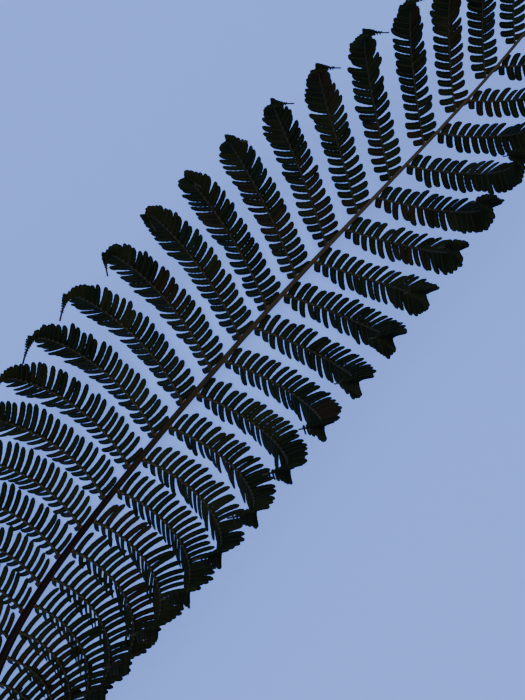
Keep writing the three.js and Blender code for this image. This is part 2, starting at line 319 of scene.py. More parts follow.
def rachis_at(along):
    """Point on the rachis axis with the directions ahead, to the left and out of its underside."""
    ahead = rachis_heading(along)
    left = UP.cross(ahead).normalized()
    return WIDEST_PLACE + run_from_widest(along), ahead, left, ahead.cross(left)


def pinna_length(pair):
    """Length of a pinna along its curve."""
    over = pair - LONGEST_AT
    if over < 0:
        return LONGEST_PINNA * (1 - (over / FOOT_FALLOFF) ** 2)
    return LONGEST_PINNA * max(1 - (over / TIP_FALLOFF) ** TIP_BELLY, SHORTEST_SHARE) ** TIP_POINT


def leaflet_end(ways):
    """Share of the full leaflet length that is left towards the end of a pinna."""
    spent = np.clip((ways - FULL_UNTIL) / (TAIL_FROM - FULL_UNTIL), 0, 1)
    return np.maximum(1 - spent**END_ROUNDNESS, END_SHARE)


class Spine:
    """The line of a pinna's rib, with its heading, its tipward side and its underside."""

    def __init__(self, number, side):
        pair = number + lead_at(number, side)
        along = along_at(pair)
        origin, ahead, left, out = rachis_at(along)
        stalk = rachis_radius(along)
        self.side = side
        self.tens = (pair - MID_PAIR) / 10
        self.outward = left * side
        self.rachis_ahead = ahead
        self.rachis_out = out
        self.length = pinna_length(pair)
        self.set = SET_ANGLE - SET_ANGLE_FALL * self.tens - SET_ANGLE_BEND * self.tens**2
        self.lower = clamp((WIDEST_PAIR - pair) / LONGER_IN, 0, 1)
        room = gap_at(max(pair, WIDEST_PAIR)) * (1 + LONGER_BELOW[side] * self.lower)
        self.reach = LEAFLET_REACH * room * math.sin(self.set)
        self.costa = min(COSTA_RADIUS * math.sqrt(self.length / LONGEST_PINNA), COSTA_SHARE * stalk)
        self.curl = CURL + CURL_GAIN * self.tens + (RIGHT_CURL if side < 0 else 0)
        self.hook = HOOK * self.length / LONGEST_PINNA
        swing = 1 if side < 0 else clamp((pair - SWAY_TURNS_AT) / SWAY_TURNS_IN, -1, 1)
        self.sway = HOOK_SWAY[side] * swing
        flat = stalk * math.cos(math.pi / SOLID_STALK_SIDES)
        self.root = origin + self.outward * flat - out * (ROOT_DROP * stalk)
        self.rows = np.array(list(self.walk()))

    def walk(self):
        """Rows of point, heading, tipward side, underside and steepness from the root to the tip."""
        level = Vector((self.rachis_ahead.x, self.rachis_ahead.y, 0)).normalized()
        rise = math.asin(self.rachis_ahead.z)
        point = self.root.copy()
        for i in range(SPINE_STEPS + 1):
            way = i / SPINE_STEPS
            straight = self.set + BACK_TURN * way
            folded = max(0, (way - HOOK_FROM) / (1 - HOOK_FROM))
            angle = straight + self.sway * folded
            pitch = rise * math.cos(straight) - DIP + self.curl * way**CURL_POWER
            pitch += self.hook * folded**HOOK_POWER
            run = (level * math.cos(angle) + self.outward * math.sin(angle)).normalized()
            heading = run * math.cos(pitch) + UP * math.sin(pitch)
            under = UP * math.cos(pitch) - run * math.sin(pitch)
            tipward = heading.cross(under) * self.side
            roll = LOUVRE - TWIST * way
            rolled_tipward = tipward * math.cos(roll) + under * math.sin(roll)
            rolled_under = under * math.cos(roll) - tipward * math.sin(roll)
            yield [*point, *heading, *rolled_tipward, *rolled_under, pitch]
            point = point + heading * (self.length / SPINE_STEPS)

    def at(self, ways):
        """Points, headings, tipward sides, undersides and steepness at shares of the way along."""
        grid = np.linspace(0, 1, SPINE_STEPS + 1)
        mixed = np.stack([np.interp(ways, grid, column) for column in self.rows.T], axis=1)
        point, heading, tipward, under, pitch = np.split(mixed, (3, 6, 9, 12), axis=1)
        heading = unit(heading)
        past = (ways - np.clip(ways, 0, 1)) * self.length
        return point + heading * past[:, None], heading, unit(tipward), unit(under), pitch[:, 0]


SPINES = {
    side: [Spine(number, side) for number in range(1, PAIRS + APEX_PAIRS + 1)] for side in SIDE_NAMES
}


def share_property(name, description, share):
    return FloatProperty(name=name, description=description, default=share, subtype="FACTOR")


def colour_property(name, description, hex_colour):
    return FloatVectorProperty(
        name=name,
        description=description,
        default=linear(hex_colour),
        subtype="COLOR",
        size=3,
        min=0,
        max=1,
    )


class FrondLeafletSizes(bpy.types.PropertyGroup):
    spacing: FloatProperty(
        name="Spacing",
        description="Distance between two leaflets of a mid-frond pinna, near the rachis",
        default=0.0182,
        unit="LENGTH",
    )
    width: share_property("Width", "Widest leaflets' width as a share of their spacing", 1.0)
    thickness: share_property("Thickness", "Thickness at the midrib as a share of the width", 0.05)
    lean: FloatProperty(
        name="Lean",
        description="Angle by which a leaflet's foot leans towards the pinna's tip",
        default=math.radians(4),
        subtype="ANGLE",
    )
    falcation: share_property(
        "Falcation", "Bow of a leaflet towards the pinna's tip, as a share of its length", 0.2
    )


class FrondRachisSizes(bpy.types.PropertyGroup):
    rings: IntProperty(
        name="Rings",
        description="Rings in which the rachis is drawn out from its cut end",
        default=120,
    )
    ridge: share_property(
        "Ridge", "Depth of the furrows between the stalk's ridges, as a share of its radius", 0.035
    )
    groove: share_property(
        "Groove", "Depth of the channel in the stalk's upper face, as a share of its radius", 0.3
    )
    relief: FloatProperty(
        name="Relief",
        description="Height of the stalk's small uneven swellings",
        default=0.0006,
        unit="LENGTH",
    )


class FrondColours(bpy.types.PropertyGroup):
    leaf_deep: colour_property("Deep leaf", "Most leaflets", "#0c150b")
    leaf_olive: colour_property("Olive leaf", "Sprays in a warmer light", "#151b0c")
    leaf_bronze: colour_property("Bronze leaf", "Older sprays turning brown", "#1a150b")
    # Painted reflection: these sprays are tinted bluish for the sky's sheen on the leaves, not for a
    # bloom on them
    leaf_sky_sheen: colour_property("Blue leaf", "Sprays with a painted bluish sheen", "#0a1610")
    vein: colour_property("Vein", "Midrib of a leaflet", "#30361a")
    rib: colour_property("Rib", "Rib of a pinna", "#353118")
    joint: colour_property("Joint", "Pale knots where pinnae join the rachis", "#8a5730")
    foot: colour_property("Foot", "Swellings where leaflets join a rib", "#5a5732")
    stalk_low: colour_property("Lower stalk", "Dark red-brown stalk near the cut", "#190909")
    stalk_high: colour_property("Upper stalk", "Paler brown rachis near the tip", "#524939")
    pith: colour_property("Pith", "Cut face of the stalk", "#b7a886")
    floor: colour_property("Floor", "Plain pale floor", "#7c9fff")


def pick(obj):
    """Makes obj the only one selected, and active."""
    bpy.ops.object.select_all(action="DESELECT")
    obj.select_set(True)
    bpy.context.view_layer.objects.active = obj


def apply_modifier(obj, kind, **settings):
    """Adds a modifier and makes its result the mesh."""
    pick(obj)
    modifier = obj.modifiers.new(kind.lower(), kind)
    for key, value in settings.items():
        setattr(modifier, key, value)
    bpy.ops.object.modifier_apply(modifier=modifier.name)


def select_where(obj, test, among_selected=False):
    """In edit mode, selects the vertices whose place passes the test, and nothing else."""
    bpy.ops.mesh.select_mode(type="VERT")
    shell = bmesh.from_edit_mesh(obj.data)
    for vertex in shell.verts:
        vertex.select = test(vertex.co) and (vertex.select or not among_selected)
    shell.select_flush_mode()
    bmesh.update_edit_mesh(obj.data)


def shade(obj, angle=math.pi):
    """Smooth shading, with an edge wherever two faces turn further apart than the angle."""
    pick(obj)
    bpy.ops.object.shade_smooth_by_angle(angle=angle)


def leaflet_half_width(x):
    """Half the width of the leaflet pattern at a share of its length."""
    foot = LEAFLET_FOOT + (1 - LEAFLET_FOOT) * min(1, x / LEAFLET_FOOT_LENGTH)
    rounding = clamp((x - LEAFLET_ROUND_FROM) / (1 - LEAFLET_ROUND_FROM), 0, 1)
    return 0.5 * foot * (1 - LEAFLET_TAPER * x) * max(LEAFLET_BLUNT, math.sqrt(1 - rounding**2))


def leaflet_template(name, thickness, fold, droop):
    """One leaflet, modelled flat from a grid, then given its outline, droop, fold and other face."""
    bpy.ops.object.select_all(action="DESELECT")
    bpy.ops.mesh.primitive_grid_add(
        x_subdivisions=LEAFLET_STEPS, y_subdivisions=2, size=1, location=(0.5, 0, 0)
    )
    obj = bpy.context.object
    obj.name = name
    bpy.ops.object.transform_apply(location=True)
    bpy.ops.object.mode_set(mode="EDIT")
    # Columns are moved from the tip back, and the small drop marks those that have moved
    for column in reversed(range(LEAFLET_STEPS + 1)):
        old = column / LEAFLET_STEPS
        new = EVEN_STEPS * old + (1 - EVEN_STEPS) * math.sin(math.pi / 2 * old)
        select_where(obj, lambda co: abs(co.x - old) < COLUMN_NEAR and co.z == 0)
        wide = 2 * leaflet_half_width(new) * (1 + LEAFLET_CRENATION * (-1) ** column)
        bpy.ops.transform.resize(value=(1, wide, 1), center_override=(old, 0, 0))
        bpy.ops.transform.translate(value=(new - old, 0, -droop * new**2 - MARK))
    # The blade folds along its midrib, so that the margins stand up, and is thickest there
    select_where(obj, lambda co: abs(co.y) < NEAR)
    bpy.ops.transform.translate(value=(0, 0, thickness / 2 - fold))
    bpy.ops.mesh.select_all(action="SELECT")
    bpy.ops.mesh.duplicate()
    bpy.ops.mesh.flip_normals()
    select_where(obj, lambda co: abs(co.y) < NEAR, among_selected=True)
    bpy.ops.transform.translate(value=(0, 0, -thickness))
    bpy.ops.mesh.select_all(action="SELECT")
    bpy.ops.mesh.remove_doubles(threshold=MARK)
    bpy.ops.mesh.select_all(action="DESELECT")
    bpy.ops.mesh.select_non_manifold()
    bpy.ops.mesh.edge_face_add()
    bpy.ops.mesh.select_all(action="SELECT")
    bpy.ops.mesh.normals_make_consistent(inside=False)
    bpy.ops.object.mode_set(mode="OBJECT")
    return obj


def knob_template(name):
    """A small rounded knot, one unit across, with a broad foot."""
    bpy.ops.object.select_all(action="DESELECT")
    bpy.ops.mesh.primitive_ico_sphere_add(subdivisions=1, radius=0.5)
    obj = bpy.context.object
    obj.name = name
    bpy.ops.object.mode_set(mode="EDIT")
    select_where(obj, lambda co: co.z < KNOB_FOOT_BELOW)
    bpy.ops.transform.resize(value=KNOB_FOOT, center_override=(0, 0, 0))
    bpy.ops.object.mode_set(mode="OBJECT")
    return obj


def ring_across_x(name, sides, radius, place):
    """A filled ring of corners that faces along X, left in edit mode."""
    bpy.ops.object.select_all(action="DESELECT")
    bpy.ops.mesh.primitive_circle_add(
        vertices=sides, radius=radius, fill_type="NGON", location=place, rotation=(0, math.pi / 2, 0)
    )
    obj = bpy.context.object
    obj.name = name
    bpy.ops.object.transform_apply(location=True, rotation=True)
    bpy.ops.object.mode_set(mode="EDIT")
    return obj


def rib_template(name):
    """A rib one unit long and one in radius at its foot, drawn out ring by ring along X."""
    ways = [RIB_FROM + (1 - RIB_FROM) * (i / RIB_RINGS) ** RIB_CROWDING for i in range(RIB_RINGS + 1)]
    radii = [
        (1 - RIB_LOSS * max(way, 0)) * (1 + RIB_SWELL * math.exp(-max(way, 0) / RIB_SWELL_SHARE))
        for way in ways
    ]
    obj = ring_across_x(name, RIB_SIDES, radii[0], (ways[0], 0, 0))
    bpy.ops.mesh.select_all(action="SELECT")
    for i in range(RIB_RINGS):
        bpy.ops.mesh.extrude_region_move(
            TRANSFORM_OT_translate={"value": (ways[i + 1] - ways[i], 0, 0)}
        )
        ratio = radii[i + 1] / radii[i]
        bpy.ops.transform.resize(value=(1, ratio, ratio), center_override=(ways[i + 1], 0, 0))
    bpy.ops.mesh.select_all(action="SELECT")
    bpy.ops.mesh.normals_make_consistent(inside=False)
    bpy.ops.object.mode_set(mode="OBJECT")
    return obj


def places_in(mesh):
    """The mesh's points as rows of an array."""
    points = np.empty(len(mesh.vertices) * 3, dtype=np.float32)
    mesh.vertices.foreach_get("co", points)
    return points.reshape(-1, 3).astype(float)


class Shape:
    """A modelled template as arrays: points, the corners of each face, and how many each has."""

    def __init__(self, obj):
        mesh = obj.data
        self.points = places_in(mesh)
        self.corners = np.empty(len(mesh.loops), dtype=np.int32)
        mesh.loops.foreach_get("vertex_index", self.corners)
        self.sizes = np.array([len(face.vertices) for face in mesh.polygons], dtype=np.int32)
        # Mirrored copies need their faces' corners in the other order
        ends = np.cumsum(self.sizes)
        self.mirrored = np.concatenate(
            [self.corners[end - size : end][::-1] for end, size in zip(ends, self.sizes)]
        )
        bpy.data.objects.remove(obj)


class Heap:
    """Copies of small shapes, joined into one piece."""

    def __init__(self, name):
        self.name = name
        self.count = 0
        self.points, self.corners, self.sizes, self.slots, self.maps = [], [], [], [], []

    def add(self, shape, points, mirror, slot, flat_map):
        """Adds one shape whose points are in place. flat_map holds a UV for each of its points."""
        corners = shape.mirrored if mirror else shape.corners
        self.points.append(points)
        self.corners.append(corners + self.count)
        self.sizes.append(shape.sizes)
        self.slots.append(np.full(len(shape.sizes), slot, dtype=np.int32))
        self.maps.append(flat_map[corners])
        self.count += len(points)

    def piece(self, materials):
        """Makes the joined mesh, an object at the origin with its place in its mesh."""
        points = np.concatenate(self.points)
        corners = np.concatenate(self.corners)
        sizes = np.concatenate(self.sizes)
        mesh = bpy.data.meshes.new(self.name)
        mesh.vertices.add(len(points))
        mesh.vertices.foreach_set("co", points.astype(np.float32).ravel())
        mesh.loops.add(len(corners))
        mesh.loops.foreach_set("vertex_index", corners)
        mesh.polygons.add(len(sizes))
        mesh.polygons.foreach_set("loop_start", np.cumsum(sizes) - sizes)
        for material in materials:
            mesh.materials.append(material)
        mesh.polygons.foreach_set("material_index", np.concatenate(self.slots))
        mesh.update(calc_edges=True)
        surface = mesh.uv_layers.new(name="surface")
        surface.data.foreach_set("uv", np.concatenate(self.maps).astype(np.float32).ravel())
        if mesh.validate():
            raise RuntimeError(f"{self.name} has faces that don't hold together")
        obj = bpy.data.objects.new(self.name, mesh)
        bpy.context.scene.collection.objects.link(obj)
        return obj


def feed(node, **inputs):
    """Sets or links a node's inputs, by name with _ for a space, or by number such as n0."""
    for key, value in inputs.items():
        numbered = key[0] == "n" and key[1:].isdigit()
        socket = node.inputs[int(key[1:]) if numbered else key.replace("_", " ")]
        if isinstance(value, bpy.types.Node):
            value = value.outputs[0]
        if isinstance(value, bpy.types.NodeSocket):
            node.id_data.links.new(value, socket)
        else:
            socket.default_value = value


def add_node(nodes, kind, **details):
    """Adds a shader node with its settings, which are the details it has as attributes, and inputs."""
    node = nodes.new("ShaderNode" + kind)
    for key in [key for key in details if hasattr(node, key)]:
        setattr(node, key, details.pop(key))
    feed(node, **details)
    return node


def new_material(name):
    """A node material, the function that adds a node to it, and its main shader."""
    material = bpy.data.materials.new(name)
    material.use_nodes = True
    nodes = material.node_tree.nodes
    return material, partial(add_node, nodes), nodes["Principled BSDF"]


def leaf_material(name, colour, vein_colour):
    """Living fern leaflet, leathery underside: a satin sheen, a paler midrib and fine side veins."""
    material, add, shader = new_material(name)
    place = add("UVMap", uv_map="surface")
    split = add("SeparateXYZ", Vector=place)
    off_middle = add("Math", operation="SUBTRACT", n0=split, n1=0.5)
    across = add("Math", operation="ABSOLUTE", n0=off_middle)
    # The midrib is a narrow band along the middle
    midrib = add(
        "MapRange",
        interpolation_type="SMOOTHSTEP",
        Value=across,
        From_Min=MIDRIB_HALF_WIDTHS[0],
        From_Max=MIDRIB_HALF_WIDTHS[1],
        To_Min=1.0,
        To_Max=0.0,
    )
    # Side veins leave the midrib and slant towards the tip
    slant = add("Math", operation="MULTIPLY_ADD", n0=across, n1=VEIN_SLANT, n2=split.outputs[1])
    wave = add("Math", operation="MULTIPLY", n0=slant, n1=2 * math.pi * LEAFLET_LENGTH / VEIN_SPACING)
    veins = add("Math", operation="SINE", n0=wave)
    object_place = add("TexCoord").outputs["Object"]
    # Cells and small dents of the leathery surface
    grain = add("TexNoise", Vector=object_place, Scale=1 / LEAF_GRAIN, Detail=2.0)
    # Patches where the green shifts a little
    patches = add("TexNoise", Vector=object_place, Scale=1 / LEAF_PATCH, Detail=3.0)
    tone = add("MapRange", Value=patches, From_Min=0.3, From_Max=0.7, To_Min=0.0, To_Max=0.6)
    lighter = [min(1, c * LEAF_LIGHTENING + 0.003) for c in colour]
    blade = add("Mix", data_type="RGBA", n0=tone, n6=(*colour, 1), n7=(*lighter, 1))
    paint = add("Mix", data_type="RGBA", n0=midrib, n6=blade.outputs[2], n7=(*vein_colour, 1))
    height = add("Math", operation="MULTIPLY_ADD", n0=veins, n1=0.35, n2=grain)
    ridge = add("Math", operation="MULTIPLY_ADD", n0=midrib, n1=1.5, n2=height)
    bump = add("Bump", Strength=0.35, Distance=0.35 * MM, Height=ridge)
    rough = add("MapRange", Value=grain, From_Min=0.3, From_Max=0.7, To_Min=0.6, To_Max=0.75)
    feed(shader, Base_Color=paint.outputs[2], Normal=bump, Roughness=rough)
    feed(shader, IOR=1.45, Specular_IOR_Level=0.15)
    return material


def tissue_material(name, colour, patch, roughness):
    """Green plant tissue of ribs and knots: smooth and waxy, its colour uneven in small patches."""
    material, add, shader = new_material(name)
    place = add("TexCoord")
    noise = add("TexNoise", Vector=place.outputs["Object"], Scale=1 / patch, Detail=4.0)
    darker = [c * 0.5 for c in colour]
    paint = add("Mix", data_type="RGBA", n0=noise, n6=(*darker, 1), n7=(*colour, 1))
    bump = add("Bump", Strength=0.3, Distance=0.3 * MM, Height=noise)
    feed(shader, Base_Color=paint.outputs[2], Normal=bump, Roughness=roughness, Specular_IOR_Level=0.3)
    return material


def stalk_material(name, low, high):
    """Fibrous fern stalk, hard and satin: long fine streaks, dark red-brown paling to the tip."""
    material, add, shader = new_material(name)
    grain = add("Attribute", attribute_name="grain").outputs["Vector"]
    squeezed = add("Mapping", Vector=grain, Scale=(1 / FIBRE_WIDTH, 1 / FIBRE_WIDTH, 1 / FIBRE_LENGTH))
    fibres = add("TexNoise", Vector=squeezed, Scale=1.0, Detail=3.0)
    split = add("SeparateXYZ", Vector=grain)
    paleness = add("MapRange", Value=split.outputs[2], From_Min=STALK_PALES[0], From_Max=STALK_PALES[1])
    ground = add("Mix", data_type="RGBA", n0=paleness, n6=(*low, 1), n7=(*high, 1))
    streak = add("MapRange", Value=fibres, From_Min=0.35, From_Max=0.65, To_Min=0.55, To_Max=1.25)
    tone = add("VectorMath", operation="SCALE", Vector=ground.outputs[2], Scale=streak.outputs[0])
    bump = add("Bump", Strength=0.4, Distance=0.4 * MM, Height=fibres)
    rough = add("MapRange", Value=fibres, From_Min=0.3, From_Max=0.7, To_Min=0.5, To_Max=0.65)
    feed(shader, Base_Color=tone, Normal=bump, Roughness=rough, Specular_IOR_Level=0.15)
    return material


def pith_material(name, pith, rim):
    """Freshly cut fern stalk: pale spongy pith in a dark hard rim, with a ring of dark strands."""
    material, add, shader = new_material(name)
    grain = add("Attribute", attribute_name="grain").outputs["Vector"]
    per_radius = 1 / rachis_radius(FOOT_ALONG)
    flat = add("VectorMath", operation="MULTIPLY", n0=grain, n1=(per_radius, per_radius, 0))
    off_axis = add("VectorMath", operation="LENGTH", n0=flat).outputs["Value"]
    split = add("SeparateXYZ", Vector=flat)
    bearing = add("Math", operation="ARCTAN2", n0=split.outputs[1], n1=split)
    rounds = add("Math", operation="MULTIPLY", n0=bearing, n1=float(BUNDLES))
    lobes = add("Math", operation="COSINE", n0=rounds)
    off_ring = add("Math", operation="SUBTRACT", n0=off_axis, n1=BUNDLE_RING)
    distance = add("Math", operation="ABSOLUTE", n0=off_ring)
    ring = add("MapRange", Value=distance, From_Min=0.02, From_Max=0.09, To_Min=1.0, To_Max=0.0)
    spots = add("MapRange", Value=lobes, From_Min=0.1, From_Max=0.6)
    strands = add("Math", operation="MULTIPLY", n0=ring, n1=spots)
    edge = add("MapRange", Value=off_axis, From_Min=RIM_FROM, From_Max=0.9)
    dark = add("Math", operation="MAXIMUM", n0=strands, n1=edge)
    paint = add("Mix", data_type="RGBA", n0=dark, n6=(*pith, 1), n7=(*rim, 1))
    cells = add("TexNoise", Vector=grain, Scale=1 / PITH_CELL, Detail=2.0)
    bump = add("Bump", Strength=0.5, Distance=0.3 * MM, Height=cells)
    feed(shader, Base_Color=paint.outputs[2], Normal=bump, Roughness=0.8)
    return material


def floor_material(colour):
    """Matt painted studio board: an even pale blue with the faintest mottling."""
    material, add, shader = new_material("studio_board")
    place = add("TexCoord")
    noise = add("TexNoise", Vector=place.outputs["Object"], Scale=0.6, Detail=2.0)
    paler = [min(1, c * 1.08) for c in colour]
    paint = add("Mix", data_type="RGBA", n0=noise, n6=(*colour, 1), n7=(*paler, 1))
    feed(shader, Base_Color=paint.outputs[2], Roughness=0.9, Specular_IOR_Level=0.2)
    feed(shader, Emission_Color=(*colour, 1), Emission_Strength=FLOOR_GLOW)
    return material


def turn_ring(pivot, before, after):
    """Turns the selected ring about pivot from one pair of swing and rise to the next."""
    # With no window the rotate operator turns the other way, hence the signs
    bpy.ops.transform.rotate(value=before[0], orient_axis="Z", center_override=pivot)
    bpy.ops.transform.rotate(value=after[1] - before[1], orient_axis="Y", center_override=pivot)
    bpy.ops.transform.rotate(value=-after[0], orient_axis="Z", center_override=pivot)


def grain_along_rachis(obj):
    """Gives each point its place in the stalk's own grain: across, through and along."""
    stations = np.linspace(FOOT_ALONG, TIP_ALONG, GRAIN_STATIONS)
    frames = [rachis_at(float(along)) for along in stations]
    centres, _, lefts, outs = (np.array(column) for column in zip(*frames))
    points = places_in(obj.data)
    nearest = np.concatenate(
        [
            ((block[:, None, :] - centres[None]) ** 2).sum(axis=2).argmin(axis=1)
            for block in np.array_split(points, GRAIN_BLOCKS)
        ]
    )
    off = points - centres[nearest]
    across = (off * lefts[nearest]).sum(axis=1)
    through = (off * outs[nearest]).sum(axis=1)
    layer = obj.data.attributes.new("grain", "FLOAT_VECTOR", "POINT")
    grain = np.stack([across, through, stations[nearest]], axis=1)
    layer.data.foreach_set("vector", grain.astype(np.float32).ravel())


class FROND_OT_rachis(bpy.types.Operator):
    """Draws the stalk and rachis out of the cut, ring by ring, as one tapering ridged limb"""

    bl_idname = "frond.rachis"
    bl_label = "Rachis"

    def execute(self, context):
        sizes = context.scene.frond_rachis
        colours = context.scene.frond_colours
        alongs = np.linspace(FOOT_ALONG, TIP_ALONG, sizes.rings + 1).tolist()
        places = [rachis_at(along)[0] for along in alongs]
        turns = [rachis_turns(along) for along in alongs]
        radii = [rachis_radius(along) for along in alongs]
        foot = places[0]
        obj = ring_across_x("rachis", STALK_SIDES, radii[0], foot)

        def around(co):
            return math.atan2(co.y - foot.y, -(co.z - foot.z))

        # Every other corner is drawn in a little, which leaves ridges along the whole stalk
        side = 2 * math.pi / STALK_SIDES
        furrow = 1 - sizes.ridge
        select_where(obj, lambda co: round(around(co) / side) % 2 == 0)
        bpy.ops.transform.resize(value=(1, furrow, furrow), center_override=foot)
        select_where(obj, lambda co: abs(around(co)) < GROOVE_HALF_ANGLE)
        bpy.ops.transform.resize(value=(1, 1, 1 - sizes.groove), center_override=foot)
        bpy.ops.mesh.select_all(action="SELECT")
        turn_ring(foot, (0, 0), turns[0])
        for i in range(sizes.rings):
            bpy.ops.mesh.extrude_region_move(
                TRANSFORM_OT_translate={"value": places[i + 1] - places[i]}
            )
            turn_ring(places[i + 1], turns[i], turns[i + 1])
            ratio = radii[i + 1] / radii[i]
            bpy.ops.transform.resize(value=(ratio, ratio, ratio), center_override=places[i + 1])
        bpy.ops.mesh.select_all(action="SELECT")
        bpy.ops.mesh.normals_make_consistent(inside=False)
        # The cut keeps its sharp rim, and its face shows the pith
        outside = stalk_material("fibrous_stalk", colours.stalk_low, colours.stalk_high)
        inside = pith_material("cut_pith", colours.pith, colours.stalk_low)
        obj.data.materials.append(outside)
        obj.data.materials.append(inside)
        heading = rachis_heading(FOOT_ALONG)
        select_where(obj, lambda co: abs((co - foot).dot(heading)) < NEAR)
        bpy.ops.transform.edge_crease(value=1)
        obj.active_material_index = 1
        bpy.ops.object.material_slot_assign()
        bpy.ops.object.mode_set(mode="OBJECT")
        apply_modifier(obj, "SUBSURF", levels=1, render_levels=1)
        swellings = bpy.data.textures.new("swellings", "CLOUDS")
        swellings.noise_scale = SWELLING_SIZE
        relief = {"texture": swellings, "texture_coords": "LOCAL", "strength": sizes.relief}
        apply_modifier(obj, "DISPLACE", mid_level=0.5, **relief)
        grain_along_rachis(obj)
        shade(obj, STALK_CREASE)
        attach(obj, "root")
        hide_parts("stalk", "rachis_lower", "rachis_middle", "rachis_upper")
        return {"FINISHED"}


def bent_rib(template, spine):
    """The straight rib's points carried onto a pinna's line."""
    points, _, tipward, under, _ = spine.at(template[:, 0] * RIB_ENDS[spine.side])
    radius = spine.costa * RIB_FULLNESS
    return points + radius * (template[:, 1:2] * tipward + template[:, 2:3] * under)


def leaflet_row(spine, sizes):
    """Distances along the rib of the leaflets' middles, and the spacing at each."""
    slim = min(1, spine.reach / SLIM_BELOW) ** SLIM_POWER
    widest = sizes.spacing * (1 - SPACING_FALL * spine.tens) * slim
    at = BARE_RIB + widest * 0.5
    row = []
    while True:
        kept = TAIL_SPACING + (1 - TAIL_SPACING) * float(leaflet_end(at / spine.length))
        spacing = widest * max(LEAST_SPACING, 1 - CROWDING * len(row)) * kept
        if at + spacing * 0.5 > spine.length * LEAFLET_ENDS[spine.side]:
            return np.array(row)
        row.append((at, spacing))
        at += spacing


class FROND_OT_ribs(bpy.types.Operator):
    """Copies one swollen-footed rib along the line of every pinna, with knots at its joints"""

    bl_idname = "frond.ribs"
    bl_label = "Ribs"

    def execute(self, context):
        colours = context.scene.frond_colours
        sizes = context.scene.frond_leaflets
        rib = Shape(rib_template("rib_pattern"))
        knob = Shape(knob_template("knob_pattern"))
        materials = [
            tissue_material("waxy_rib", colours.rib, 9 * MM, 0.5),
            tissue_material("pale_knot", colours.joint, 3 * MM, 0.65),
            tissue_material("leaflet_foot", colours.foot, 3 * MM, 0.6),
        ]
        for side, spines in SPINES.items():
            heap = Heap(f"ribs_{SIDE_NAMES[side]}")
            mirror = side < 0
            for spine in spines:
                heap.add(rib, bent_rib(rib.points, spine), mirror, 0, rib.points[:, :2])
                self.knot_axil(heap, knob, spine)
                self.knot_feet(heap, knob, spine, leaflet_row(spine, sizes))
            piece = heap.piece(materials)
            shade(piece)
            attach(piece, "root")
        return {"FINISHED"}

    def knot_axil(self, heap, knob, spine):
        """Sets the pale knot in the tipward corner between a pinna and the rachis."""
        out, radii, least, most = AXIL_KNOT
        size = clamp(radii * spine.costa, least, most)
        ahead, outward, up = spine.rachis_ahead, spine.outward, spine.rachis_out
        spot = spine.root + ahead * (spine.costa + size * AXIL_KNOT_AHEAD) + up * (spine.costa * out)
        axes = np.array([way * size * share for way, share in zip((ahead, outward, up), AXIL_KNOT_FORM)])
        heap.add(knob, knob.points @ axes + np.array(spot), spine.side < 0, 1, knob.points[:, :2])

    def knot_feet(self, heap, knob, spine, row):
        """Sets a small swelling on the rib's underside where each tipward leaflet leaves it."""
        ways = row[:, 0] / spine.length
        points, headings, tipwards, unders, _ = spine.at(ways)
        for way, point, heading, tipward, under in zip(ways, points, headings, tipwards, unders):
            radius = spine.costa * RIB_FULLNESS * (1 - RIB_LOSS * way)
            size = 2 * radius * FOOT_KNOT
            spot = point + radius * (FOOT_KNOT_PLACE[0] * tipward + FOOT_KNOT_PLACE[1] * under)
            axes = np.array([heading * size, tipward * size, under * size])
            heap.add(knob, knob.points @ axes + spot, spine.side < 0, 2, knob.points[:, :2])


def laid_on_floor(points):
    """Bends points that would pass the floor to lie just above it, still in the same order."""
    above = points[:, 2] - LAID
    points[:, 2] = LAID + 0.5 * (above + np.sqrt(above**2 + FLOOR_BEND**2))
    return points


def set_leaflet(heap, shape, place, axes, sizes, mirror, tint):
    """Adds one leaflet with its foot at place, along axes[0], wide along axes[1], bowed that way."""
    length, width, bow = sizes
    long_way, across, normal = axes
    points = (
        place
        + np.outer(shape.points[:, 0] * length, long_way)
        + np.outer(shape.points[:, 1] * width + bow * shape.points[:, 0] ** 2, across)
        + np.outer(shape.points[:, 2] * width, normal)
    )
    flat_map = np.stack([shape.points[:, 1] + 0.5, shape.points[:, 0]], axis=1)
    heap.add(shape, laid_on_floor(points), mirror, tint, flat_map)


